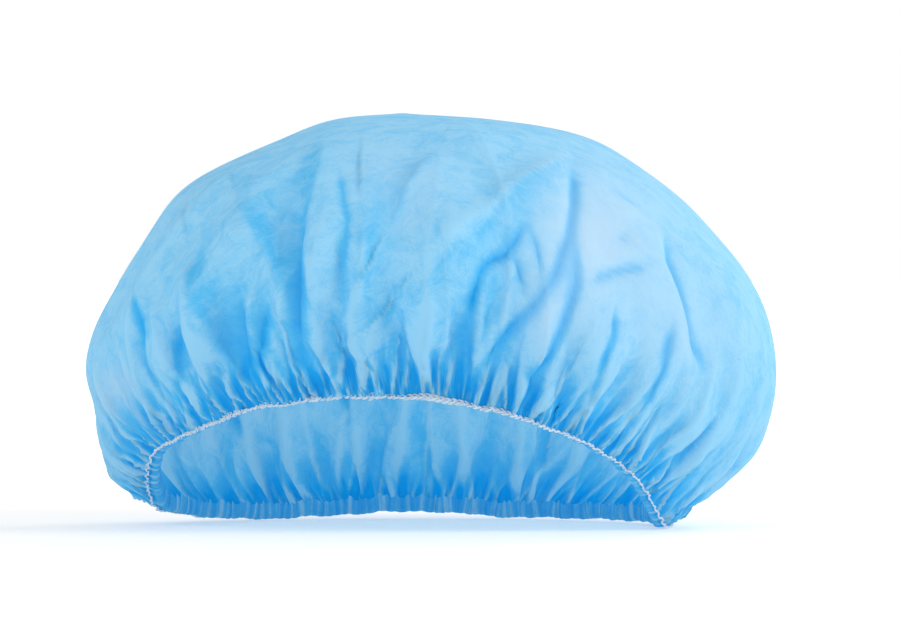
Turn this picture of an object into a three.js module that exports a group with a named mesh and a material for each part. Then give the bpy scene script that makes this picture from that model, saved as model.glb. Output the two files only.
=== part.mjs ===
// Disposable bouffant hairnet: a puffed crown of thin spunbond cloth, gathered at its edge into a
// turned-in hem that holds an elastic ring. Millimetres, +Z up, the forehead side towards -Y.
// It stands on the back and sides of its hem, and the hem arches up over the forehead.
import * as THREE from "three";

// Driving dimensions
const WALL = 1.0; // cloth wall
const GAP = 0.4; // clearance between neighbouring pieces
const COLUMNS = 120; // steps round the mouth in the cloth
const ELASTIC_COLUMNS = 60; // steps round the mouth in the elastic
const CROWN_ROWS = 18; // steps from the crown's top to its hem

// The mouth, as the middle line of the hem's foot lies when seen from above
const MOUTH = { left: 117, right: 97, front: 80, back: 86 };

// The foot of the hem leaves the ground at the left temple, arches over the forehead and comes down
// at the right temple. Degrees go anticlockwise from the right, seen from above.
const ARCH = [
  { degrees: 168, rise: 0 },
  { degrees: 176, rise: 5 },
  { degrees: 184, rise: 14 },
  { degrees: 194, rise: 26 },
  { degrees: 204, rise: 34 },
  { degrees: 216, rise: 41.5 },
  { degrees: 231, rise: 50 },
  { degrees: 246, rise: 54.6 },
  { degrees: 261, rise: 56 },
  { degrees: 274, rise: 54 },
  { degrees: 288, rise: 48.5 },
  { degrees: 302, rise: 40.5 },
  { degrees: 316, rise: 31 },
  { degrees: 328, rise: 20 },
  { degrees: 337, rise: 9 },
  { degrees: 346, rise: 0 },
];
const ARCH_TOP = Math.max(...ARCH.map((station) => station.rise));

// The turned-in hem, a channel open at its top
const HEM_HEIGHT = 9;
const HEM_DEPTH = 5; // across both walls of the channel, in the furrows of the gathers
const HEM_FOOT_BEVEL = 0.8;
const HEM_FLARE = { left: 9, right: 10, front: 0, back: 4 }; // the outer wall leans out by this much
const TURN_IN_HEIGHT = 7.6; // the raw edge inside ends below the seam
const ELASTIC_DIAMETER = 2.2;
const ELASTIC_SIDES = 6;
const ELASTIC_LEVEL = 3.2; // the elastic's middle above the hem's foot

// Gathers: pleats that the elastic draws up, deepest just above the hem
const GATHERS = 30;
const HEM_RIPPLE = 1.3; // half height of the pleats in each wall of the hem
const GATHER_RISE = 4.2; // half height of the pleats where they are deepest
const GATHER_DEEPEST = 0.87; // share of the way from the crown's top to its hem
const GATHER_REACH = 0.26; // share of that way over which they fade upwards

// Closed sections of the puffed crown from the top down. Each reaches left, right, front and back
// of the part's axis at its height, and lift raises its front.
const CROWN_TOP = { x: -14, y: -2, height: 174.5 };
const CROWN_SECTIONS = [
  { name: "top", height: 172.0, lift: 0, left: 42, right: 26, front: 26, back: 24 },
  { name: "cap", height: 164.5, lift: 1, left: 62, right: 62, front: 52, back: 50 },
  { name: "brow", height: 143.0, lift: 5, left: 103, right: 99.5, front: 82, back: 80 },
  { name: "shoulder", height: 121.0, lift: 12, left: 119.5, right: 122, front: 98, back: 98 },
  { name: "side", height: 92.0, lift: 24, left: 132.5, right: 139.5, front: 107, back: 112 },
  { name: "bulge", height: 60.0, lift: 40, left: 144, right: 143.5, front: 105, back: 117 },
  { name: "underside", height: 33.0, lift: 51, left: 140, right: 133, front: 96, back: 111 },
  { name: "tuck", height: 18.0, lift: 56, left: 133.5, right: 118.5, front: 87.5, back: 99 },
];

// Main folds of the crown. Each runs from its head to its foot as seen from the front (x, z), on the
// front or the back of the crown. A ridge has a positive rise and a furrow a negative one.
const FOLDS = [
  { face: "front", headX: -44, headZ: 168, footX: -49, footZ: 90, width: 13, rise: 5 },
  { face: "front", headX: -58, headZ: 150, footX: -57, footZ: 78, width: 15, rise: -6 },
  { face: "front", headX: -93, headZ: 144, footX: -70, footZ: 86, width: 12, rise: 5 },
  { face: "front", headX: 3, headZ: 162, footX: -26, footZ: 96, width: 12, rise: 5 },
  { face: "front", headX: -30, headZ: 128, footX: -35, footZ: 80, width: 13, rise: -5 },
  { face: "front", headX: 58, headZ: 158, footX: -2, footZ: 100, width: 14, rise: 6 },
  { face: "front", headX: 58, headZ: 150, footX: 26, footZ: 78, width: 11, rise: -6 },
  { face: "front", headX: 96, headZ: 112, footX: 60, footZ: 99, width: 10, rise: -4 },
  { face: "front", headX: 104, headZ: 120, footX: 108, footZ: 60, width: 13, rise: -4 },
  { face: "front", headX: 128, headZ: 58, footX: 92, footZ: 32, width: 13, rise: 4 },
  { face: "front", headX: -104, headZ: 84, footX: -98, footZ: 50, width: 10, rise: -5 },
  { face: "back", headX: -60, headZ: 120, footX: -70, footZ: 24, width: 14, rise: -6 },
  { face: "back", headX: -8, headZ: 130, footX: -14, footZ: 22, width: 14, rise: 6 },
  { face: "back", headX: 48, headZ: 126, footX: 30, footZ: 24, width: 15, rise: -6 },
  { face: "back", headX: 88, headZ: 110, footX: 80, footZ: 28, width: 13, rise: 5 },
];
const FOLD_END_FADE = 14; // a fold dies away over this length past its head and foot
const FOLD_FACING = { none: 0.1, full: 0.6 }; // how squarely the wall faces the front or back

const UP = new THREE.Vector3(0, 0, 1);

// A closed curve with its own reach in each direction, seen from above.
function planPoint(reach, angle) {
  const x = Math.cos(angle) * (Math.cos(angle) > 0 ? reach.right : reach.left);
  const y = Math.sin(angle) * (Math.sin(angle) > 0 ? reach.back : reach.front);
  return new THREE.Vector3(x, y, 0);
}

// A smooth curve through the stations of the arch.
const archCurve = new THREE.CubicInterpolant(
  ARCH.map((station) => station.degrees),
  ARCH.map((station) => station.rise),
  1,
);
archCurve.settings = { endingStart: THREE.ZeroSlopeEnding, endingEnd: THREE.ZeroSlopeEnding };

// 0 round the back and sides, growing to 1 at the top of the arch over the forehead.
function forehead(angle) {
  const degrees = THREE.MathUtils.euclideanModulo(THREE.MathUtils.radToDeg(angle), 360);
  return Math.max(0, archCurve.evaluate(degrees)[0] / ARCH_TOP);
}

// How far the hem's outer wall leans out between its foot and its top.
function flare(angle) {
  const across = Math.cos(angle) ** 2 * (Math.cos(angle) > 0 ? HEM_FLARE.right : HEM_FLARE.left);
  const along = Math.sin(angle) ** 2 * (Math.sin(angle) > 0 ? HEM_FLARE.back : HEM_FLARE.front);
  return across + along;
}

// Uneven pleats round the mouth, from -1 in a furrow to 1 on a crest.
function pleat(angle) {
  const drift = 0.8 * Math.sin(3 * angle + 1) + 0.5 * Math.sin(7 * angle + 2);
  const size = 0.8 + 0.2 * Math.sin(5 * angle + 0.7);
  return size * Math.sin(GATHERS * angle + drift);
}

// The hem's middle line at its foot.
function hemLine(angle) {
  const point = planPoint(MOUTH, angle);
  point.z = ARCH_TOP * forehead(angle);
  return point;
}

// The hem's own directions: out is level and points away from the mouth, rise points up its wall.
function hemFrame(angle) {
  const step = 1e-3;
  const along = hemLine(angle + step).sub(hemLine(angle - step)).normalize();
  const out = new THREE.Vector3().crossVectors(along, UP).normalize();
  const rise = new THREE.Vector3().crossVectors(out, along);
  return { out, rise };
}

// A point of the hem: outwards from its middle line, and up from its foot. The pleats push each wall
// away from the elastic, so side is 1 on the outer wall, -1 on the inner one and 0 on the elastic.
function hemPoint(angle, outwards, upwards, side) {
  const { out, rise } = hemFrame(angle);
  const lean = side > 0 ? (flare(angle) * upwards) / HEM_HEIGHT : 0;
  return hemLine(angle)
    .addScaledVector(out, outwards + lean + side * HEM_RIPPLE * (1 + pleat(angle)))
    .addScaledVector(rise, upwards);
}

// How far the main folds move the crown's wall at a point, outwards.
function foldRise(point, normal) {
  const face = normal.y < 0 ? "front" : "back";
  const facing = THREE.MathUtils.smoothstep(Math.abs(normal.y), FOLD_FACING.none, FOLD_FACING.full);
  let rise = 0;
  for (const fold of FOLDS) {
    if (fold.face !== face) continue;
    const runX = fold.footX - fold.headX;
    const runZ = fold.footZ - fold.headZ;
    const length = Math.hypot(runX, runZ);
    const offX = point.x - fold.headX;
    const offZ = point.z - fold.headZ;
    const along = (offX * runX + offZ * runZ) / length;
    const aside = (offX * runZ - offZ * runX) / length;
    const past = Math.max(0, -along, along - length) / FOLD_END_FADE;
    rise += fold.rise * Math.exp(-((aside / fold.width) ** 2) - past ** 2);
  }
  return facing * rise;
}

// Half height of the gathers at a share of the way down the crown.
function gatherRise(down) {
  if (down > GATHER_DEEPEST) {
    const share = (down - GATHER_DEEPEST) / (1 - GATHER_DEEPEST);
    return THREE.MathUtils.lerp(GATHER_RISE, HEM_RIPPLE, share);
  }
  return GATHER_RISE * Math.exp(-(((GATHER_DEEPEST - down) / GATHER_REACH) ** 2) * 2);
}

// The smooth line down the crown at one angle, from its top to the seam above the hem.
function meridian(angle) {
  const seam = hemPoint(angle, (HEM_DEPTH - WALL) / 2, HEM_HEIGHT + WALL / 2 + GAP, 1);
  const down = CROWN_SECTIONS.map((section) => {
    const point = planPoint(section, angle);
    point.z = section.height + section.lift * forehead(angle);
    return point;
  });
  const top = new THREE.Vector3(CROWN_TOP.x, CROWN_TOP.y, CROWN_TOP.height);
  return new THREE.CatmullRomCurve3([top, ...down, seam], false, "centripetal");
}

const angleOf = (column, columns = COLUMNS) => (2 * Math.PI * column) / columns;

// The outward direction at each point of a grid of rows that close round the mouth.
function gridNormals(rows) {
  return rows.map((row, r) =>
    row.map((_, c) => {
      const above = rows[Math.max(0, r - 1)][c];
      const below = rows[Math.min(rows.length - 1, r + 1)][c];
      const before = row[(c + COLUMNS - 1) % COLUMNS];
      const after = row[(c + 1) % COLUMNS];
      const downwards = below.clone().sub(above);
      const round = after.clone().sub(before);
      return downwards.cross(round).normalize();
    }),
  );
}

// The crown wall's middle surface, one row of points for each level below the top.
function crownSurface() {
  const lines = Array.from({ length: COLUMNS }, (_, c) => meridian(angleOf(c)));
  const levels = Array.from({ length: CROWN_ROWS }, (_, r) => (r + 1) / CROWN_ROWS);
  const smooth = levels.map((down) => lines.map((line) => line.getPoint(down)));
  const normals = gridNormals(smooth);
  return smooth.map((row, r) =>
    row.map((point, c) => {
      const normal = normals[r][c];
      const gather = gatherRise(levels[r]) * pleat(angleOf(c));
      const rise = levels[r] < 1 ? foldRise(point, normal) + gather : 0;
      return point.clone().addScaledVector(normal, rise);
    }),
  );
}

// A closed body from a list of points and triangles.
function body(points, triangles) {
  const geometry = new THREE.BufferGeometry();
  geometry.setAttribute("position", new THREE.Float32BufferAttribute(points.flatMap((p) => p.toArray()), 3));
  geometry.setIndex(triangles.flat());
  geometry.computeVertexNormals();
  return geometry;
}

// Two triangles for each cell between two rings of points, facing out where the second ring lies below.
function band(upper, lower, columns = COLUMNS) {
  const triangles = [];
  for (let c = 0; c < columns; c++) {
    const d = (c + 1) % columns;
    triangles.push([upper + c, lower + c, upper + d], [upper + d, lower + c, lower + d]);
  }
  return triangles;
}

// The crown: an open shell with a wall of even thickness, closed at its top.
function crownGeometry() {
  const surface = crownSurface();
  const normals = gridNormals(surface);
  const points = [];
  const triangles = [];
  const wallSide = (offset) => {
    const top = points.length;
    points.push(new THREE.Vector3(CROWN_TOP.x, CROWN_TOP.y, CROWN_TOP.height + offset));
    surface.forEach((row, r) => {
      row.forEach((point, c) => points.push(point.clone().addScaledVector(normals[r][c], offset)));
    });
    const ring = (r) => top + 1 + r * COLUMNS;
    const faces = [];
    for (let c = 0; c < COLUMNS; c++) faces.push([top, ring(0) + c, ring(0) + ((c + 1) % COLUMNS)]);
    for (let r = 0; r + 1 < CROWN_ROWS; r++) faces.push(...band(ring(r), ring(r + 1)));
    return { faces, rim: ring(CROWN_ROWS - 1) };
  };
  const outside = wallSide(WALL / 2);
  const inside = wallSide(-WALL / 2);
  triangles.push(...outside.faces);
  triangles.push(...inside.faces.map(([a, b, c]) => [a, c, b]));
  triangles.push(...band(outside.rim, inside.rim));
  return body(points, triangles);
}

// A ring that carries a closed section round the hem. Its corners go anticlockwise, seen with the
// mouth on the left.
function hemRing(sectionAt, columns) {
  const points = [];
  const triangles = [];
  const corners = sectionAt(0).length;
  for (let k = 0; k < corners; k++) {
    for (let c = 0; c < columns; c++) {
      const angle = angleOf(c, columns);
      const corner = sectionAt(angle)[k];
      points.push(hemPoint(angle, corner.out, corner.up, corner.side));
    }
  }
  for (let k = 0; k < corners; k++) {
    triangles.push(...band(((k + 1) % corners) * columns, k * columns, columns));
  }
  return body(points, triangles);
}

// The turned-in hem: an outer wall, a flattened foot and the turned-in edge inside.
function hemSection(angle) {
  const outer = HEM_DEPTH / 2;
  const channel = outer - WALL;
  const leaning = outer - WALL * Math.hypot(1, flare(angle) / HEM_HEIGHT); // keeps the wall's thickness
  return [
    { side: -1, out: -outer + HEM_FOOT_BEVEL, up: 0 },
    { side: 1, out: outer - HEM_FOOT_BEVEL, up: 0 },
    { side: 1, out: outer, up: HEM_FOOT_BEVEL },
    { side: 1, out: outer, up: HEM_HEIGHT },
    { side: 1, out: leaning, up: HEM_HEIGHT },
    { side: 1, out: leaning, up: WALL },
    { side: -1, out: -channel, up: WALL },
    { side: -1, out: -channel, up: TURN_IN_HEIGHT },
    { side: -1, out: -outer, up: TURN_IN_HEIGHT },
    { side: -1, out: -outer, up: HEM_FOOT_BEVEL },
  ];
}

// The elastic: a round cord that lies loose in the hem's channel.
function elasticSection() {
  return Array.from({ length: ELASTIC_SIDES }, (_, k) => {
    const turn = (2 * Math.PI * k) / ELASTIC_SIDES;
    const radius = ELASTIC_DIAMETER / 2;
    return { side: 0, out: radius * Math.cos(turn), up: ELASTIC_LEVEL + radius * Math.sin(turn) };
  });
}

const cloth = new THREE.MeshStandardMaterial({ color: 0x8cc6f0, roughness: 0.85, metalness: 0 });
const rubber = new THREE.MeshStandardMaterial({ color: 0xe9eef4, roughness: 0.7, metalness: 0 });

function piece(name, geometry, material) {
  const mesh = new THREE.Mesh(geometry, material);
  mesh.name = name;
  return mesh;
}

const hairnet = new THREE.Group();
hairnet.add(piece("crown", crownGeometry(), cloth));
hairnet.add(piece("hem", hemRing(hemSection, COLUMNS), cloth));
hairnet.add(piece("elastic", hemRing(elasticSection, ELASTIC_COLUMNS), rubber));

// The origin lies on the ground under the middle of the part's box.
const box = new THREE.Box3().setFromObject(hairnet);
const middle = box.getCenter(new THREE.Vector3());
for (const mesh of hairnet.children) mesh.geometry.translate(-middle.x, -middle.y, -box.min.z);

export default hairnet;
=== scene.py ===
"""Disposable bouffant hairnet, standing on the back and sides of its hem."""

import math

import bpy
import numpy as np
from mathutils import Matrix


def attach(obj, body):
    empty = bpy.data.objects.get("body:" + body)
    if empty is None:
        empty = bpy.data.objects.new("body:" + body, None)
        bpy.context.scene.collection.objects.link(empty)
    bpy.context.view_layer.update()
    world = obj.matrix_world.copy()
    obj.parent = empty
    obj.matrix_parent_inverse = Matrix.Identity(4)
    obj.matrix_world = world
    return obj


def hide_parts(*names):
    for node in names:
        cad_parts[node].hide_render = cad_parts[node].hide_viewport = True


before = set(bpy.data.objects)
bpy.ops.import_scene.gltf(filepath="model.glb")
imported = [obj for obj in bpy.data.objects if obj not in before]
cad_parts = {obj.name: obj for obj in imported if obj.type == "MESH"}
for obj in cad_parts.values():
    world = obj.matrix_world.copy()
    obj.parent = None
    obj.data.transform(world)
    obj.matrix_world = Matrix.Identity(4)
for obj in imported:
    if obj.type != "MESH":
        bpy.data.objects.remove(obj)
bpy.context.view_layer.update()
bpy.ops.object.select_all(action="DESELECT")

# THE CLOTH. One round cut of thin spunbond polypropylene, puffed up into the crown. Its edge is drawn
# up in small pleats, turned in over the elastic and sewn down, so the crown and the hem are one sheet.
# All lengths are in millimetres until the mesh is made, with the forehead towards -Y.
CUT_DIAMETER = 530
AXIS = np.array([-0.18, -4.75, 0.0])
COLUMNS = 780
CROWN_ROWS = 112
UP = np.array([0.0, 0.0, 1.0])

# Reach of the mouth to each side of the axis, and how far the hem stands off the ground round it
MOUTH = {"left": 117, "right": 97, "front": 80, "back": 86}
ARCH = {
    "degrees": [168, 176, 184, 194, 204, 216, 231, 246, 261, 274, 288, 302, 316, 328, 337, 346],
    "rise": [0, 5, 14, 26, 34, 41.5, 50, 54.6, 56, 54, 48.5, 40.5, 31, 20, 9, 0],
}
# How far the edge ruffles up from there, most of all by the left temple
RUFFLE = {
    "degrees": [0, 20, 50, 72, 90, 104, 122, 138, 150, 162, 172, 182, 196, 214, 360],
    "rise": [0, 0.2, 0.2, 0.2, 2.2, 1.8, 0.0, 0.4, 2.2, 4.6, 7.5, 8.0, 4.0, 0, 0],
}
HEM_DEPTH = 4.0
TURN_IN_HEIGHT = 7.0

# Closed sections of the puffed crown from its top down. Lift raises a section's front over the forehead.
CROWN_TOP = np.array([-14.0, -2.0, 174.5])
CROWN_SECTIONS = [
    # height, lift, left, right, front, back
    (172.0, 0, 42, 26, 26, 24),
    (164.5, 1, 62, 62, 52, 50),
    (143.0, 5, 103, 99.5, 82, 80),
    (121.0, 12, 119.5, 122, 98, 98),
    (92.0, 24, 132.5, 139.5, 107, 112),
    (60.0, 40, 144, 143.5, 105, 117),
    (33.0, 51, 140, 133, 96, 111),
    (18.0, 56, 133.5, 118.5, 87.5, 99),
]


def plan(reach, angle):
    across = np.cos(angle) * np.where(np.cos(angle) > 0, reach["right"], reach["left"])
    along = np.sin(angle) * np.where(np.sin(angle) > 0, reach["back"], reach["front"])
    return np.stack([across, along, np.zeros_like(angle)], axis=-1)


def smooth_through(stations, values, at):
    """A smooth curve through the stations, level at both of its ends."""
    stations, values = np.array(stations, float), np.array(values, float)
    slope = np.zeros(len(values))
    slope[1:-1] = (values[2:] - values[:-2]) / (stations[2:] - stations[:-2])
    at = np.clip(at, stations[0], stations[-1])
    k = np.clip(np.searchsorted(stations, at) - 1, 0, len(stations) - 2)
    step = stations[k + 1] - stations[k]
    t = (at - stations[k]) / step
    rise = values[k + 1] - values[k]
    start, end = slope[k] * step, slope[k + 1] * step
    return values[k] + t * start + t**2 * (3 * rise - 2 * start - end) + t**3 * (start + end - 2 * rise)


def arch(angle):
    rise = smooth_through(ARCH["degrees"], ARCH["rise"], np.degrees(angle) % 360)
    return np.maximum(0, rise)


def unit(vectors):
    return vectors / np.maximum(np.linalg.norm(vectors, axis=-1, keepdims=True), 1e-9)


def hem_frame(angle):
    """The hem's foot line, with its level outward direction and the direction up its wall."""

    def line(turn):
        foot = plan(MOUTH, turn)
        ruffle = smooth_through(RUFFLE["degrees"], RUFFLE["rise"], np.degrees(turn) % 360)
        scallop = 0.5 * (1 + np.sin(31 * turn + 0.6) * np.sin(12 * turn + 2.0))
        foot[..., 2] = arch(turn) + np.maximum(0, ruffle) + scallop
        return foot

    foot = line(angle)
    along = unit(line(angle + 1e-3) - line(angle - 1e-3))
    out = unit(np.cross(along, UP))
    return foot, out, np.cross(out, along)


angle = np.arange(COLUMNS) * 2 * np.pi / COLUMNS
foot, hem_out, hem_rise = hem_frame(angle)
hem_step = np.linalg.norm(np.roll(foot, -1, axis=0) - foot, axis=1)
hem_length = hem_step.sum()
hem_turn = 2 * np.pi * (np.cumsum(hem_step) - hem_step) / hem_length


def centripetal(points, shares):
    """A centripetal curve through rows of points, at shares of its way from the first to the last."""
    ext = np.concatenate([[2 * points[0] - points[1]], points, [2 * points[-1] - points[-2]]])
    spans = len(points) - 1
    k = np.minimum((shares * spans).astype(int), spans - 1)
    w = (shares * spans - k)[:, None, None]
    a, b, c, d = ext[k], ext[k + 1], ext[k + 2], ext[k + 3]
    ab = np.maximum(np.linalg.norm(b - a, axis=-1, keepdims=True), 1e-6) ** 0.5
    bc = np.maximum(np.linalg.norm(c - b, axis=-1, keepdims=True), 1e-6) ** 0.5
    cd = np.maximum(np.linalg.norm(d - c, axis=-1, keepdims=True), 1e-6) ** 0.5
    start = ((b - a) / ab - (c - a) / (ab + bc) + (c - b) / bc) * bc
    end = ((c - b) / bc - (d - b) / (bc + cd) + (d - c) / cd) * bc
    return b + start * w + (3 * (c - b) - 2 * start - end) * w**2 + (2 * (b - c) + start + end) * w**3


def crown_base(shares):
    """The smooth crown before it is folded, one row for each share of the way down to the hem."""
    forehead = arch(angle) / max(ARCH["rise"])
    seam = foot + hem_out * HEM_DEPTH / 2 + hem_rise * 1.2
    rings = [np.broadcast_to(CROWN_TOP, (COLUMNS, 3))]
    for height, lift, left, right, front, back in CROWN_SECTIONS:
        ring = plan({"left": left, "right": right, "front": front, "back": back}, angle)
        ring[:, 2] = height + lift * forehead
        rings.append(ring)
    rings.append(seam)
    dense = centripetal(np.array(rings), np.linspace(0, 1, 240))
    run = np.zeros(dense.shape[:2])
    run[1:] = np.cumsum(np.linalg.norm(np.diff(dense, axis=0), axis=-1), axis=0)
    rows = np.empty((len(shares), COLUMNS, 3))
    for c in range(COLUMNS):
        wanted = shares * run[-1, c]
        for axis in range(3):
            rows[:, c, axis] = np.interp(wanted, run[:, c], dense[:, c, axis])
    return rows, run[-1]


def sheet_normals(rows):
    down = np.empty_like(rows)
    down[1:-1] = rows[2:] - rows[:-2]
    down[0] = rows[1] - rows[0]
    down[-1] = rows[-1] - rows[-2]
    around = np.roll(rows, -1, axis=1) - np.roll(rows, 1, axis=1)
    return unit(np.cross(down, around))


shares = 1 - (1 - np.arange(1, CROWN_ROWS + 1) / CROWN_ROWS) ** 1.35
smooth_crown, meridian_length = crown_base(shares)
normals = sheet_normals(smooth_crown)
above_hem = (1 - shares)[:, None] * meridian_length[None, :]

# Folds of the puffed crown, as lines over its front (x, z). Each stands up or in by its rise, and falls
# away over its own width to the west and the east of the line.
FOLDS = [
    # west, east, rise, line from the head to the foot
    (6, 7, -5.5, [(-54, 138), (-55, 117), (-54, 92), (-52, 68)]),
    (6, 16, 4.0, [(-44, 169), (-46, 143), (-50, 119), (-48, 97), (-46, 69)]),
    (15, 6, 4.5, [(-79, 137), (-72, 124), (-63, 109), (-58, 95), (-55, 82), (-53, 66)]),
    (12, 5, 4.0, [(-100, 118), (-97, 98), (-91, 84), (-85, 73), (-81, 61)]),
    (4, 7, 3.0, [(-119, 106), (-117, 92), (-115, 72), (-112, 55)]),
    (5, 6, -3.5, [(-90, 78), (-88, 66), (-87, 56)]),
    (7, 6, -4.0, [(-80, 104), (-78, 84), (-76, 64)]),
    (5, 15, 3.6, [(-29, 133), (-29, 112), (-30, 96), (-28, 84)]),
    (6, 16, 3.6, [(3, 160), (-3, 148), (-10, 137), (-17, 126)]),
    (6, 6, -3.0, [(-37, 128), (-36, 104), (-36, 88)]),
    (6, 18, 5.0, [(58, 158), (44, 147), (28, 136), (14, 128), (5, 119), (-3, 111)]),
    (9, 9, -4.0, [(27, 104), (23, 89), (17, 74)]),
    (8, 10, 3.0, [(50, 118), (44, 100), (33, 84), (25, 70)]),
    (10, 6, 3.5, [(69, 92), (62, 78), (56, 62)]),
    (9, 9, -3.0, [(96, 129), (104, 103), (110, 84), (115, 64)]),
    (9, 7, 3.5, [(126, 55), (110, 44), (94, 34)]),
    (8, 9, 3.0, [(121, 114), (122, 98), (130, 80)]),
]


def fold_rise(points, normals, folds, sharp, end_fade):
    """How far a list of folds moves each point of the crown's front along its normal."""
    total = np.zeros(points.shape[:2])
    facing = np.clip((-normals[..., 1] - 0.2) / 0.4, 0, 1)
    near = facing > 0
    x, z = points[near][:, 0], points[near][:, 2]
    gain = np.zeros(len(x))
    for west, east, rise, line in folds:
        best = np.full(len(x), 1e9)
        aside = np.zeros(len(x))
        for (x0, z0), (x1, z1) in zip(line, line[1:]):
            run_x, run_z = x1 - x0, z1 - z0
            length = math.hypot(run_x, run_z)
            along = ((x - x0) * run_x + (z - z0) * run_z) / length
            side = ((z - z0) * run_x - (x - x0) * run_z) / length
            past = np.maximum(0, np.maximum(-along, along - length))
            distance = np.hypot(side, past)
            closer = distance < best
            best[closer] = distance[closer]
            aside[closer] = side[closer]
        (hx, hz), (fx, fz) = line[0], line[-1]
        ends = np.minimum(np.hypot(x - hx, z - hz), np.hypot(x - fx, z - fz))
        width = np.where(aside > 0, east, west)
        gain += rise * np.exp(-((best / width) ** sharp)) * np.clip(0.15 + ends / end_fade, 0, 1)
    total[near] = gain * facing[near]
    return total


BACK_LOWER = 14


def mirrored(folds):
    """The same folds for the back, seen from behind, where they sit lower."""
    back = []
    for west, east, rise, line in folds:
        back.append((east, west, rise, [(-x, z - BACK_LOWER) for x, z in line]))
    return back


def front_and_back(folds, sharp, end_fade):
    """The rise of a list of folds on the crown's front, and of the same folds mirrored on its back."""
    backwards = np.array([1.0, -1.0, 1.0])
    front = fold_rise(smooth_crown, normals, folds, sharp, end_fade)
    back = fold_rise(smooth_crown * backwards, normals * backwards, mirrored(folds), sharp, end_fade)
    return front + back


broad = front_and_back(FOLDS, 1.15, 18)

# Pleats that the elastic draws up: fine at the hem, and joining in pairs into wider ones above it
PLEAT_COUNT = 128
pleat_phase = (
    PLEAT_COUNT * hem_turn
    + 1.9 * np.sin(5 * hem_turn + 0.4)
    + 1.3 * np.sin(11 * hem_turn + 2.1)
    + 0.9 * np.sin(23 * hem_turn + 4.0)
)
pleat_size = 0.75 + 0.25 * np.sin(9 * hem_turn + 1.0) * np.sin(17 * hem_turn + 0.3)


def hump(height, middle, below, beyond):
    spread = np.where(height < middle, below, beyond)
    return np.exp(-(((height - middle) / spread) ** 2))


PLEATS = [
    # share of the fine pleats' phase, half height, level above the hem, reach below it, reach above it
    (1.0, 1.5, 3.0, 9.0, 9.0),
    (0.5, 2.0, 12.0, 10.0, 15.0),
    (0.25, 3.2, 28.0, 20.0, 28.0),
    (0.125, 4.4, 58.0, 36.0, 46.0),
]
gathers = np.zeros_like(above_hem)
for share, height, middle, below, beyond in PLEATS:
    sway = 0.5 * np.sin(above_hem / 19 + 40 * share + 3 * hem_turn) * share**0.5
    wave = np.sin(share * pleat_phase + 7 * share + sway)
    wave = wave - 0.25 * np.cos(2 * share * pleat_phase)
    gathers += height * pleat_size * hump(above_hem, middle, below, beyond) * wave
crown = smooth_crown + normals * gathers[..., None]


def settle(rows, base, normals, around, down, keep, turns):
    """Draws the sheet back to its cut lengths, so that its spare width stands up in folds.

    around and down are the cut lengths of the cloth between neighbours. keep says which of the waves
    round the crown the cloth keeps, for each row: broad ones are pressed out by the puff, and ones
    that are too narrow for the cloth's stiffness are smoothed.
    """

    def pull(first, second, length):
        gap = second - first
        now = np.sqrt(np.einsum("...i,...i->...", gap, gap)) + 1e-6
        return gap * (0.5 * (1 - length / now))[..., None]

    slant = np.sqrt((0.5 * (around[:-1] + around[1:])) ** 2 + down**2)
    pinned_top, pinned_hem = rows[:4].copy(), rows[-1].copy()
    for _ in range(turns):
        move = pull(rows[:, 0::2], rows[:, 1::2], around[:, 0::2])
        rows[:, 0::2] += move
        rows[:, 1::2] -= move
        move = pull(rows[:, 1::2], np.roll(rows[:, 0::2], -1, axis=1), around[:, 1::2])
        rows[:, 1::2] += move
        rows[:, 0::2] -= np.roll(move, 1, axis=1)
        for first in (0, 1):
            upper = rows[first:-1:2]
            lower = rows[first + 1 :: 2][: len(upper)]
            move = pull(upper, lower, down[first::2][: len(upper)])
            upper += move
            lower -= move
            for side in (1, -1):
                move = 0.35 * pull(upper, np.roll(lower, -side, axis=1), slant[first::2][: len(upper)])
                upper += move
                lower -= np.roll(move, side, axis=1)
        out = np.einsum("...i,...i->...", rows - base, normals)
        waves = np.fft.rfft(out, axis=1)
        rows += (np.fft.irfft(waves * keep, n=COLUMNS, axis=1) - out)[..., None] * normals
        rows[:4] = pinned_top
        rows[-1] = pinned_hem
    return rows


SETTLE_TURNS = 60
base_around = np.linalg.norm(np.roll(smooth_crown, -1, axis=1) - smooth_crown, axis=-1)
base_down = np.linalg.norm(np.diff(smooth_crown, axis=0), axis=-1)
spare = 1 + 0.14 * np.exp(-((above_hem / 140) ** 4))
spare = spare + 0.22 * np.exp(-(((above_hem - 12) / 20) ** 2))
mode = np.arange(COLUMNS // 2 + 1)[None, :]
row_height = above_hem.mean(axis=1)[:, None]
narrowest = 4 + 0.13 * row_height
widest = 24 + 1.1 * row_height
girth = base_around.sum(axis=1)[:, None]
keep = 1 / (1 + 0.1 * (mode * narrowest / girth) ** 4)
keep *= 1 - 0.35 / (1 + (mode * widest / girth) ** 6)
crown = settle(crown, smooth_crown, normals, base_around * spare, base_down, keep, SETTLE_TURNS)

# The cloth is stiffer than the folds that it was drawn into, so it eases out a little away from the hem
EASE_ROUNDS = 4
ease = 0.5 * np.clip((above_hem - 3) / 26, 0, 1)[1:-1, :, None]
for _ in range(EASE_ROUNDS):
    beside = np.roll(crown, 1, axis=1) + np.roll(crown, -1, axis=1)
    crown[1:-1] += ease * (0.25 * (crown[:-2] + crown[2:] + beside[1:-1]) - crown[1:-1])

# At its foot the sheet is held to the elastic's line by the stitching
held = np.clip((above_hem - 1) / 26, 0, 1)[..., None] ** 0.9
crown = smooth_crown + (crown - smooth_crown) * held

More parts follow.
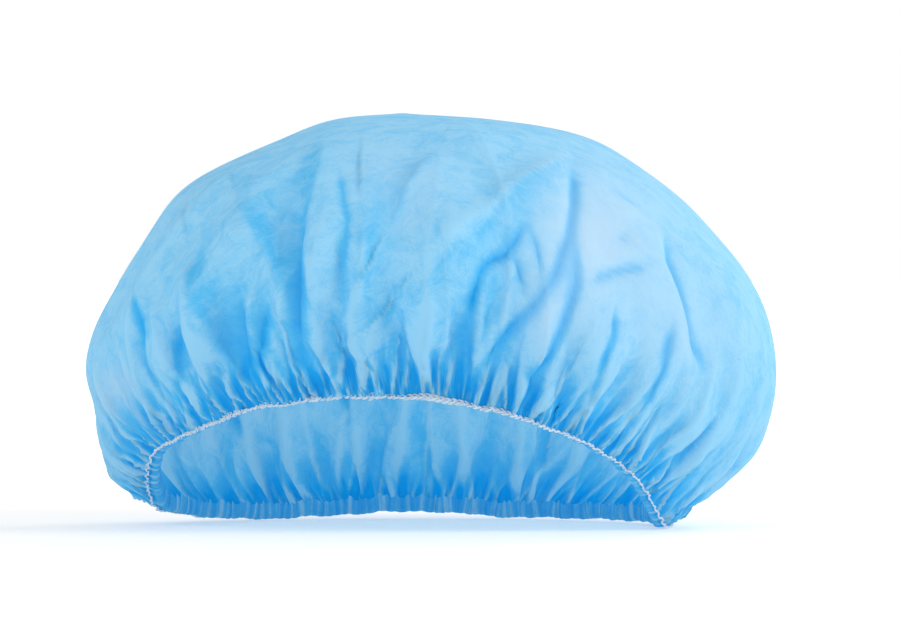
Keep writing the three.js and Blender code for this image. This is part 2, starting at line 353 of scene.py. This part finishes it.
# Shallow dents and swells all over the puffed crown, as thin cloth takes them when it is shaken out
DENT_COUNT = 60
dents = np.zeros_like(above_hem)
dent_chance = np.random.default_rng(5)
for _ in range(DENT_COUNT):
    dent_column = dent_chance.integers(COLUMNS)
    dent_row = dent_chance.integers(8, CROWN_ROWS - 22)
    reach = dent_chance.uniform(9, 22)
    rise = dent_chance.uniform(-1.6, 1.6)
    apart = ((smooth_crown - smooth_crown[dent_row, dent_column]) ** 2).sum(axis=-1)
    dents += rise * np.exp(-((apart / reach**2) ** 0.8))
dents *= np.clip(np.arange(CROWN_ROWS) / 12, 0, 1)[:, None]
dents *= np.clip((142 - np.abs(smooth_crown[..., 0])) / 25, 0, 1)
crown = crown + normals * dents[..., None]

# Sharp creases, pressed in while the hairnet lay folded flat in its packet
CREASES = [
    # west, east, rise, line from the head to the foot
    (2.4, 3.6, -2.4, [(57, 151), (57, 135), (54, 120), (49, 107), (41, 94), (29, 82), (20, 69)]),
    (3.6, 2.4, -2.2, [(57, 120), (58, 103), (54, 89), (48, 75), (40, 67), (37, 57)]),
    (2.0, 2.6, -1.4, [(38, 128), (42, 118), (44, 109), (44, 103)]),
    (2.0, 2.6, -1.5, [(33, 117), (36, 106), (39, 98)]),
    (3.4, 2.2, -2.2, [(39, 128), (30, 115), (20, 110), (17, 100), (14, 87)]),
    (3.0, 3.0, -1.8, [(61, 101), (68, 106), (78, 109), (93, 112)]),
    (2.4, 2.8, -1.8, [(76, 96), (74, 83), (71, 76), (67, 64)]),
    (2.8, 2.8, -1.8, [(100, 88), (97, 77), (95, 67), (89, 57), (82, 49)]),
    (2.4, 2.8, -1.4, [(96, 129), (100, 115), (104, 103), (110, 84), (115, 64)]),
    (2.4, 2.4, -1.3, [(121, 114), (122, 98), (130, 86)]),
    (2.8, 2.8, 1.3, [(-79, 137), (-63, 150), (-46, 162)]),
    (2.4, 2.4, -1.6, [(-121, 104), (-120, 90), (-118, 74)]),
    (2.4, 2.4, -1.7, [(-67, 96), (-69, 82), (-70, 70), (-66, 62)]),
    (2.8, 2.8, -0.8, [(0, 105), (-11, 101), (-18, 93), (-22, 83)]),
    (3.0, 3.0, -1.3, [(69, 144), (79, 139), (92, 131)]),
    (3.0, 2.4, -1.6, [(-104, 88), (-105, 75), (-104, 57)]),
    (2.6, 2.6, -1.2, [(-38, 150), (-34, 128), (-36, 106)]),
    (2.6, 2.6, -1.2, [(84, 128), (78, 122), (70, 121)]),
    (2.6, 2.6, 1.1, [(88, 136), (80, 132), (70, 134)]),
]
creased = front_and_back(CREASES, 1.3, 11)
crown = crown + sheet_normals(crown) * (1.5 * broad + 1.35 * creased)[..., None]

# Pleats of the gathered edge, no two alike: thin ridges that lean and run out at their own heights. Most
# of them are short, and about one in four runs far up the crown as a long fold.
chance = np.random.default_rng(21)
hem_place = hem_turn * hem_length / (2 * np.pi)


def ridges(height, pitch, rise, reach, lean, width, widening):
    """How far one set of pleats stands out, at a height above the hem's foot for each column."""
    count = int(hem_length / pitch)
    places = (np.arange(count) + 0.45 * chance.uniform(-1, 1, count)) * hem_length / count
    total = np.zeros_like(height)
    for place in places:
        most = rise * chance.uniform(0.35, 1)
        end = reach[0] + (reach[1] - reach[0]) * chance.uniform(0, 1) ** 2
        aslant = lean * chance.uniform(-1, 1)
        beyond = hem_place - place - aslant * height
        gap = np.abs((beyond + hem_length / 2) % hem_length - hem_length / 2)
        total += most * np.exp(-gap / (width + widening * height)) * np.exp(-((height / end) ** 2))
    return total - total.mean(axis=-1, keepdims=True)


heights = np.concatenate([above_hem, np.zeros((1, COLUMNS))])
short_pleats = ridges(heights, 3.2, 5.8, (12, 38), 0.3, 0.75, 0.035)
long_pleats = ridges(heights, 10, 6.4, (26, 120), 0.12, 1.1, 0.05)
wall_pleats = short_pleats[-1]
pleat_rise = short_pleats[:-1] * (0.25 + 0.75 * np.clip(above_hem / 4, 0, 1))
pleat_rise += long_pleats[:-1] * np.clip(above_hem / 20, 0, 1)
crown = crown + sheet_normals(crown) * pleat_rise[..., None]

# Where a fold has tipped over so far that the cloth could pass through itself, it is drawn straighter
STRAIGHTEN_ROUNDS = 14
TIPPED_BELOW = 0.22
for _ in range(STRAIGHTEN_ROUNDS):
    upright = np.einsum("...i,...i->...", sheet_normals(crown), normals)
    tipped = (upright < TIPPED_BELOW).astype(float)
    for shift, axis in ((1, 1), (-1, 1), (2, 1), (-2, 1), (1, 0), (-1, 0)):
        tipped = np.maximum(tipped, 0.9 * np.roll(tipped, shift, axis=axis))
    tipped *= np.clip(above_hem / 10, 0, 1)
    beside = np.roll(crown, 1, axis=1) + np.roll(crown, -1, axis=1)
    straight = 0.25 * (crown[:-2] + crown[2:] + beside[1:-1])
    crown[1:-1] += 0.6 * tipped[1:-1, :, None] * (straight - crown[1:-1])

# The hem: from the crown's lower edge round the foot and up the inner wall to the cut edge
HEM_PROFILE = [
    # out from the middle, up from the foot
    (1.5, 0.7),
    (0.7, 0.3),
    (-0.3, 0.2),
    (-1.1, 0.45),
    (-1.7, 1.2),
    (-2.0, 2.4),
    (-2.1, 3.9),
    (-2.1, 5.6),
    (-2.0, TURN_IN_HEIGHT),
]
hem_rows = []
for out, up in HEM_PROFILE:
    aside = out + (0.35 if out > 0 else 0.14) * wall_pleats
    level = up * (1 + 0.05 * wall_pleats) + 0.1 * (wall_pleats - wall_pleats.min())
    hem_rows.append(foot + hem_out * aside[:, None] + hem_rise * level[:, None])

sheet = np.concatenate([np.broadcast_to(CROWN_TOP, (1, COLUMNS, 3)), crown, np.array(hem_rows)]) + AXIS
sheet[..., 2] = np.maximum(sheet[..., 2], 0.05)
rows = len(sheet)

points = np.concatenate([sheet[0, :1], sheet[1:].reshape(-1, 3)]) / 1000
ring = 1 + (np.arange(rows - 1)[:, None] * COLUMNS) + np.arange(COLUMNS)[None, :]
after = np.roll(ring, -1, axis=1)
quads = np.stack([ring[:-1], ring[1:], after[1:], after[:-1]], axis=-1).reshape(-1, 4)
fan = np.stack([np.zeros(COLUMNS, int), ring[0], after[0]], axis=-1)
mesh = bpy.data.meshes.new("cloth")
mesh.from_pydata(points.tolist(), [], fan.tolist() + quads.tolist())
mesh.update()
mesh.polygons.foreach_set("use_smooth", np.ones(len(mesh.polygons), bool))
cloth = bpy.data.objects.new("cloth", mesh)
bpy.context.collection.objects.link(cloth)

# Painted shade for the cloth's colour: how deep each point lies in the folds, and how closely the cloth is
# drawn up there.
# Deeper blue is painted in the fold valleys, the creases and the pleat valleys, and low inside the back of
# the cap, and the fold ridges get a painted highlight. Near the hem the deeper blue is also the cloth lying
# in layers where it is drawn up.
stand = np.einsum("...i,...i->...", crown - smooth_crown, normals)
waves = np.fft.rfft(stand, axis=1)
# Painted shade in the fold valleys, and a painted highlight on the fold ridges where the value goes below
# zero
fold_shading = np.zeros_like(stand)
for reach, deepest, share in ((8, 2.0, 0.45), (22, 4.0, 0.5)):
    around_mean = np.fft.irfft(waves / (1 + (mode * reach / girth) ** 4), n=COLUMNS, axis=1)
    fold_shading += share * np.clip((around_mean - stand) / deepest, -0.55, 1)
# The cloth drawn up in layers near the hem, and painted shade low on the inside of the back of the cap
drawn_up_and_inner_shade = np.exp(-above_hem / 16)
drawn_up_and_inner_shade = drawn_up_and_inner_shade + 2.4 * np.exp(-((above_hem / 30) ** 2)) * np.clip(np.sin(angle), 0, 1)
# Painted shade in the valleys between the hem's pleats
pleat_valley_shade = np.clip(0.5 - 0.55 * short_pleats[:-1], 0, 1) * np.exp(-((above_hem / 15) ** 2))
# Painted shade along the pressed creases
crease_shade = np.clip(-creased / 1.5, 0, 1) ** 2

# Painted shade beside a fold's edge, on its side turned from the light: a crisp edge, and a deeper blue
# fading away from it
FOLD_EDGE_SHADE = [
    # west, east, depth, line from the head to the foot
    (1.3, 10, 0.28, [(-79, 137), (-72, 124), (-63, 109), (-58, 95), (-55, 82), (-53, 66)]),
    (9, 1.3, 0.24, [(-44, 163), (-47, 140), (-50, 116), (-49, 96), (-47, 66)]),
    (1.3, 9, 0.26, [(-29, 133), (-30, 108), (-30, 80)]),
    (9, 1.3, 0.24, [(3, 157), (-7, 140), (-18, 125)]),
    (1.3, 9, 0.24, [(60, 157), (27, 132), (4, 112), (-5, 100)]),
    (1.3, 14, 0.3, [(23, 111), (9, 77), (7, 67)]),
    (1.3, 7, 0.3, [(-95, 120), (-95, 89), (-86, 74), (-78, 55)]),
    (6, 6, 0.6, [(-77, 98), (-75, 82), (-74, 60)]),
    (2.5, 2.5, 0.3, [(-118, 96), (-117, 79), (-115, 55)]),
]
fold_edge_shade = front_and_back(FOLD_EDGE_SHADE, 1.6, 14)
fold_shading *= 0.45 + 0.4 * np.exp(-((above_hem / 60) ** 2))
# All the painted shade and highlights, with the cloth's layers by the hem, as how deep a blue each point
# takes
layered_and_shaded = np.clip(fold_shading + 0.15 * drawn_up_and_inner_shade + pleat_valley_shade + 0.5 * crease_shade + fold_edge_shade, -0.3, 1)

# A painted glow of light from behind: pale patches where the light would come through a single layer of the
# cloth
BACKLIGHT_PATCHES = [
    # x, z, reach, how pale
    (66, 122, 30, 0.8),
    (104, 84, 24, 0.45),
    (46, 92, 15, 0.35),
    (-12, 142, 20, 0.3),
    (-131, 60, 9, 0.5),
]
painted_backlight = np.zeros_like(above_hem)
for x, z, reach, share in BACKLIGHT_PATCHES:
    for side, below in ((1, 0), (-1, BACK_LOWER)):
        apart = (smooth_crown[..., 0] - side * x) ** 2 + (smooth_crown[..., 2] - z + below) ** 2
        painted_backlight += share * np.exp(-apart / reach**2) * np.clip(0.5 - side * normals[..., 1], 0, 1)
painted_backlight = np.clip(painted_backlight * (1 - 0.8 * layered_and_shaded), 0, 1)


def keep_on_cloth(name, on_crown, on_hem):
    """Keeps one number for each point of the cloth: 0 at its top, then on the crown, then on the hem."""
    values = np.concatenate([[0], on_crown.ravel(), np.tile(on_hem, len(hem_rows))])
    mesh.attributes.new(name, "FLOAT", "POINT").data.foreach_set("value", values.astype(np.float32))


keep_on_cloth("painted_backlight", painted_backlight, np.zeros(COLUMNS))
# On the hem the value is the turned-in band's double cloth, with painted shade in the valleys of its pleats
keep_on_cloth("layers_and_shade", layered_and_shaded, np.clip(0.34 - 0.12 * wall_pleats, 0, 1))

# The smallest pleats are finer than the mesh. They have their place round the hem's line, in millimetres,
# and reach up from it by their own amounts.
pleat_reach = 13 + 3 * np.sin(7 * hem_turn + 1) + 3 * np.sin(18 * hem_turn + 2)
keep_on_cloth("gathered", np.exp(-((above_hem / pleat_reach) ** 2)), np.full(COLUMNS, 0.45))
pleat_place = np.zeros((rows, COLUMNS, 3))
pleat_place[..., 0] = hem_length / (2 * np.pi) * np.cos(hem_turn)
pleat_place[..., 1] = hem_length / (2 * np.pi) * np.sin(hem_turn)
pleat_place[1 : CROWN_ROWS + 1, :, 2] = above_hem / 8
pleat_place = np.concatenate([pleat_place[0, :1], pleat_place[1:].reshape(-1, 3)])
round_hem = mesh.attributes.new("round_hem", "FLOAT_VECTOR", "POINT")
round_hem.data.foreach_set("vector", pleat_place.astype(np.float32).ravel())

# The cloth's own flat place, as it was cut: the crown's top in the middle of the round, the hem at its rim
CROWN_OF_CUT = 0.93
turned_in = (1 - CROWN_OF_CUT) * np.arange(1, len(hem_rows) + 1) / len(hem_rows)
radius = np.concatenate([[0], shares * CROWN_OF_CUT, CROWN_OF_CUT + turned_in])[:, None]
flat = 0.5 + 0.5 * np.stack([radius * np.cos(angle), radius * np.sin(angle)], axis=-1)
flat = np.concatenate([flat[0, :1], flat[1:].reshape(-1, 2)])
corner = np.empty(len(mesh.loops), np.int32)
mesh.loops.foreach_get("vertex_index", corner)
mesh.uv_layers.new(name="flat_cut").data.foreach_set("uv", flat[corner].astype(np.float32).ravel())


def linear(hex_colour):
    channels = [int(hex_colour[i : i + 2], 16) / 255 for i in (0, 2, 4)]
    return tuple(c / 12.92 if c <= 0.04045 else ((c + 0.055) / 1.055) ** 2.4 for c in channels) + (1.0,)


def add_node(material, kind, settings=None, **inputs):
    """Adds a node, sets its own settings, and sets or links its inputs by name."""
    node = material.node_tree.nodes.new(kind)
    for name, value in (settings or {}).items():
        setattr(node, name, value)
    for name, value in inputs.items():
        socket = node.inputs[int(name[1:]) if name[1:].isdigit() else name.replace("_", " ")]
        if isinstance(value, bpy.types.NodeSocket):
            material.node_tree.links.new(value, socket)
        else:
            socket.default_value = value
    return node


# Spunbond polypropylene, laid down as loose fibres and pressed: matt, cloudy where the fibres lie thick or
# thin, deeper blue where it lies in layers, and with light coming through it. Its colour also carries
# painted shade in the folds, creases and pleat valleys, painted highlights on the fold ridges and pleat
# tips, and a pale painted glow where light from behind would come through a single layer. Sizes are in
# millimetres. The fibres are far finer than they are drawn here, which is as coarse as they need to show.
MOTTLE_SIZE = 11
FIBRE_SIZE = 1.6
SMALL_PLEAT = 2.2
LIGHT_THROUGH = 0.34
spunbond = bpy.data.materials.new("spunbond_polypropylene")
spunbond.use_nodes = True
spunbond.node_tree.nodes.clear()
cut_place = add_node(spunbond, "ShaderNodeUVMap", {"uv_map": "flat_cut"})
cloudy = add_node(
    spunbond,
    "ShaderNodeTexNoise",
    Vector=cut_place.outputs["UV"],
    Scale=CUT_DIAMETER / MOTTLE_SIZE,
    Detail=9.0,
    Roughness=0.78,
    Distortion=0.6,
)
fibres = add_node(
    spunbond,
    "ShaderNodeTexNoise",
    Vector=cut_place.outputs["UV"],
    Scale=CUT_DIAMETER / FIBRE_SIZE,
    Detail=3.0,
    Roughness=0.6,
    Distortion=2.5,
)
mottle = add_node(spunbond, "ShaderNodeMapRange", i0=cloudy.outputs[0], i1=0.3, i2=0.7, i3=0.42, i4=0.0)
speckle = add_node(
    spunbond,
    "ShaderNodeMath",
    {"operation": "MULTIPLY_ADD"},
    i0=fibres.outputs[0],
    i1=-0.3,
    i2=mottle.outputs[0],
)
round_place = add_node(spunbond, "ShaderNodeAttribute", {"attribute_name": "round_hem"})
small_pleats = add_node(
    spunbond,
    "ShaderNodeTexNoise",
    Vector=round_place.outputs["Vector"],
    Scale=1 / SMALL_PLEAT,
    Detail=2.0,
    Roughness=0.55,
)
drawn_in = add_node(spunbond, "ShaderNodeAttribute", {"attribute_name": "gathered"})
# Painted light on the smallest pleats near the hem: pale painted highlights on their tips and painted shade
# in their valleys
pleat_light_and_shade_ramp = add_node(
    spunbond, "ShaderNodeMapRange", i0=small_pleats.outputs[0], i1=0.34, i2=0.66, i3=0.72, i4=-0.62
)
pleat_painted_shading = add_node(
    spunbond,
    "ShaderNodeMath",
    {"operation": "MULTIPLY"},
    i0=pleat_light_and_shade_ramp.outputs[0],
    i1=drawn_in.outputs["Fac"],
)
pleat_height = add_node(
    spunbond,
    "ShaderNodeMath",
    {"operation": "MULTIPLY"},
    i0=small_pleats.outputs[0],
    i1=drawn_in.outputs["Fac"],
)
layers_and_shade_node = add_node(spunbond, "ShaderNodeAttribute", {"attribute_name": "layers_and_shade"})
fold_and_pleat_shading = add_node(
    spunbond, "ShaderNodeMath", {"operation": "ADD"}, i0=layers_and_shade_node.outputs["Fac"], i1=pleat_painted_shading.outputs[0]
)
shading_layers_and_mottle = add_node(
    spunbond, "ShaderNodeMath", {"operation": "ADD"}, i0=fold_and_pleat_shading.outputs[0], i1=speckle.outputs[0]
)
# How deep a blue the cloth takes, from pale to saturated: its layers and random mottle, and the painted
# shade and highlights of its folds and pleats
tint = add_node(spunbond, "ShaderNodeValToRGB", Fac=shading_layers_and_mottle.outputs[0])
tint.color_ramp.elements[0].position = 0.0
tint.color_ramp.elements[0].color = linear("a6e0f8")
tint.color_ramp.elements[1].position = 1.0
tint.color_ramp.elements[1].color = linear("00b2f4")
middle_tint = tint.color_ramp.elements.new(0.35)
middle_tint.color = linear("62caf4")
# The pale colour mixed in by this attribute is painted light, coming through the cloth from behind
backlight_node = add_node(spunbond, "ShaderNodeAttribute", {"attribute_name": "painted_backlight"})
colour = add_node(
    spunbond,
    "ShaderNodeMix",
    {"data_type": "RGBA"},
    i0=backlight_node.outputs["Fac"],
    i6=tint.outputs[0],
    i7=linear("cfe6f4"),
)
pleated = add_node(spunbond, "ShaderNodeBump", Height=pleat_height.outputs[0], Strength=0.8, Distance=0.0022)
bumps = add_node(
    spunbond,
    "ShaderNodeBump",
    Height=cloudy.outputs[0],
    Strength=0.5,
    Distance=0.001,
    Normal=pleated.outputs[0],
)
surface = add_node(
    spunbond,
    "ShaderNodeBsdfPrincipled",
    Base_Color=colour.outputs[2],
    Roughness=0.75,
    Normal=bumps.outputs[0],
)
glow = add_node(spunbond, "ShaderNodeBsdfTranslucent", Color=colour.outputs[2])
both = add_node(
    spunbond, "ShaderNodeMixShader", i0=LIGHT_THROUGH, i1=surface.outputs[0], i2=glow.outputs[0]
)
add_node(spunbond, "ShaderNodeOutputMaterial", Surface=both.outputs[0])
mesh.materials.append(spunbond)

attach(cloth, "root")
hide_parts("crown", "hem")

# THE ELASTIC. A thin round elastic covered in white yarn. It lies stretched in the hem's channel, where the
# turned-in edge and the stitching hold it, and draws the cloth up into its pleats.
ELASTIC_DIAMETER = 2.2
ELASTIC_LEVEL = 3.6


def yarn(name, lines, thickness, sides, material):
    """A closed thread along each line of points, made as a bevelled curve and turned into a mesh."""
    curve = bpy.data.curves.new(name, "CURVE")
    curve.dimensions = "3D"
    curve.bevel_depth = thickness / 2000
    curve.bevel_resolution = sides // 2 - 2
    curve.use_fill_caps = True
    for line in lines:
        spline = curve.splines.new("POLY")
        spline.points.add(len(line) - 1)
        spline.use_cyclic_u = True
        places = np.concatenate([line / 1000, np.ones((len(line), 1))], axis=1)
        spline.points.foreach_set("co", places.astype(np.float32).ravel())
    bpy.ops.object.select_all(action="DESELECT")
    piece = bpy.data.objects.new(name, curve)
    bpy.context.collection.objects.link(piece)
    bpy.context.view_layer.objects.active = piece
    piece.select_set(True)
    bpy.ops.object.convert(target="MESH")
    bpy.ops.object.shade_smooth()
    piece = bpy.context.active_object
    piece.data.materials.clear()
    piece.data.materials.append(material)
    return piece


# White crimped yarn: matt and bright, with a little light through it
white_yarn = bpy.data.materials.new("white_polyester_yarn")
white_yarn.use_nodes = True
white_yarn.node_tree.nodes.clear()
yarn_body = add_node(white_yarn, "ShaderNodeBsdfPrincipled", Base_Color=linear("f4faff"), Roughness=0.8)
yarn_glow = add_node(white_yarn, "ShaderNodeBsdfTranslucent", Color=linear("f6fbff"))
yarn_mix = add_node(
    white_yarn, "ShaderNodeMixShader", i0=0.4, i1=yarn_body.outputs[0], i2=yarn_glow.outputs[0]
)
add_node(white_yarn, "ShaderNodeOutputMaterial", Surface=yarn_mix.outputs[0])

elastic_line = (foot + hem_rise * ELASTIC_LEVEL + AXIS)[::3]
elastic = yarn("elastic_cord", [elastic_line], ELASTIC_DIAMETER, 10, white_yarn)
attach(elastic, "root")
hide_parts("elastic")

# THE OVERLOCK STITCH. Two bulked white polyester threads sewn in zigzag over the hem's lower outer edge,
# which hold the elastic in. They are slack and loopy over the forehead.
STITCH_PITCH = 2.5
STITCH_WIDTH = 2.0
THREAD_DIAMETER = 0.45
STITCH_STEPS = 8
stitches = int(hem_length / STITCH_PITCH)
steps = stitches * STITCH_STEPS
at = np.arange(steps) / steps * hem_length
column = np.interp(at, np.append(hem_place, hem_length), np.arange(COLUMNS + 1))


def along_hem(values):
    """Values of the hem's columns, read off at each step of the thread."""
    closed = np.concatenate([values, values[:1]])
    if values.ndim == 1:
        return np.interp(column, np.arange(COLUMNS + 1), closed)
    return np.stack([np.interp(column, np.arange(COLUMNS + 1), closed[:, k]) for k in range(3)], axis=-1)


edge = along_hem(foot)
edge_out = along_hem(hem_out)
edge_rise = along_hem(hem_rise)
edge_along = unit(np.roll(edge, -1, axis=0) - np.roll(edge, 1, axis=0))
edge_pleats = along_hem(wall_pleats)
slack = 0.22 + 0.78 * np.clip(along_hem(arch(angle)) / max(ARCH["rise"]), 0, 1) ** 2
threads_run = []
for strand in range(2):
    loose = np.repeat(chance.uniform(0.4, 1.6, stitches), STITCH_STEPS)
    loose = np.convolve(np.concatenate([loose[-4:], loose, loose[:4]]), np.ones(9) / 9, "valid")
    phase = at / STITCH_PITCH * 2 * np.pi + strand * 2.1 + 1.5 * loose
    swing = STITCH_WIDTH / 2 * slack * loose
    up = 0.7 + swing * np.sin(phase)
    out = 3.3 + 0.35 * edge_pleats + 0.5 * np.cos(phase) * slack + 0.3 * strand
    out = out - 0.8 * np.clip(0.4 - up, 0, 2)
    loop = 1.1 * slack * loose * np.sin(2 * phase + 0.8)
    thread = edge + edge_out * out[:, None] + edge_rise * up[:, None]
    thread = thread + edge_along * loop[:, None] + AXIS
    thread[:, 2] = np.maximum(thread[:, 2], THREAD_DIAMETER / 2 + 0.05)
    threads_run.append(thread)
overlock = yarn("overlock_stitch", threads_run, THREAD_DIAMETER, 6, white_yarn)
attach(overlock, "root")

# THE STAGE. A white floor that runs into a white surround, soft light from all sides, and a long lens
# at the height of the crown.
bpy.ops.mesh.primitive_plane_add(size=60, location=(0, 0, 0))
floor = bpy.context.active_object
floor.name = "floor"

# White paper, matt and lit more and more with distance, so that it runs out into the white surround
paper = bpy.data.materials.new("white_paper")
paper.use_nodes = True
paper.node_tree.nodes.clear()
floor_place = add_node(paper, "ShaderNodeTexCoord")
from_part = add_node(
    paper, "ShaderNodeVectorMath", {"operation": "LENGTH"}, i0=floor_place.outputs["Object"]
)
lit = add_node(paper, "ShaderNodeMapRange", Value=from_part.outputs["Value"])
for name, value in (("From Min", 0.25), ("From Max", 1.2), ("To Min", 0.38), ("To Max", 1.0)):
    lit.inputs[name].default_value = value
sheet_white = add_node(
    paper,
    "ShaderNodeBsdfPrincipled",
    Base_Color=linear("dadada"),
    Roughness=0.9,
    Emission_Color=linear("ffffff"),
    Emission_Strength=lit.outputs[0],
)
add_node(paper, "ShaderNodeOutputMaterial", Surface=sheet_white.outputs[0])
floor.data.materials.append(paper)

surround = bpy.data.worlds.new("white_surround")
bpy.context.scene.world = surround
surround.use_nodes = True
surround.node_tree.nodes.clear()
way = add_node(surround, "ShaderNodeTexCoord")
compass = add_node(surround, "ShaderNodeSeparateXYZ", Vector=way.outputs["Generated"])
from_right = add_node(
    surround, "ShaderNodeMath", {"operation": "MULTIPLY_ADD"}, i0=compass.outputs["X"], i1=0.03, i2=0.53
)
from_above = add_node(
    surround,
    "ShaderNodeMath",
    {"operation": "MULTIPLY_ADD"},
    i0=compass.outputs["Z"],
    i1=0.12,
    i2=from_right.outputs[0],
)
studio = add_node(
    surround, "ShaderNodeBackground", Color=linear("ffffff"), Strength=from_above.outputs[0]
)
seen = add_node(surround, "ShaderNodeBackground", Color=linear("ffffff"), Strength=1.0)
lens = add_node(surround, "ShaderNodeLightPath")
mix = add_node(
    surround,
    "ShaderNodeMixShader",
    i0=lens.outputs["Is Camera Ray"],
    i1=studio.outputs[0],
    i2=seen.outputs[0],
)
add_node(surround, "ShaderNodeOutputWorld", Surface=mix.outputs[0])


def soft_light(name, place, aim, size, power):
    bpy.ops.object.light_add(type="AREA", location=place)
    lamp = bpy.context.active_object
    lamp.name = name
    lamp.data.shape = "SQUARE"
    lamp.data.size = size
    lamp.data.energy = power
    towards = np.array(aim) - np.array(place)
    yaw = math.atan2(towards[1], towards[0]) - math.pi / 2
    pitch = math.atan2(towards[2], math.hypot(towards[0], towards[1])) + math.pi / 2
    lamp.rotation_euler = (pitch, 0, yaw)


soft_light("key", (1.5, -0.75, 1.0), (0, 0, 0.08), 0.7, 14)
soft_light("fill", (-1.3, -0.9, 1.0), (0, 0, 0.1), 0.8, 7)
soft_light("back", (0.9, 1.0, 0.9), (0, 0, 0.1), 0.6, 6)

bpy.ops.object.camera_add()
camera = bpy.context.active_object
bpy.context.scene.camera = camera
DISTANCE = 2.6
TILT = math.radians(0.5)
IMAGE_WIDTH = 900
FOCAL_PIXELS = 6158
camera.location = (0.007, -DISTANCE * math.cos(TILT), 0.0895 + DISTANCE * math.sin(TILT))
camera.rotation_euler = (math.pi / 2 - TILT, 0, 0)
camera.data.sensor_width = 36
camera.data.lens = 36 * FOCAL_PIXELS / IMAGE_WIDTH
camera.data.clip_end = 100
bpy.context.scene.view_settings.view_transform = "Standard"
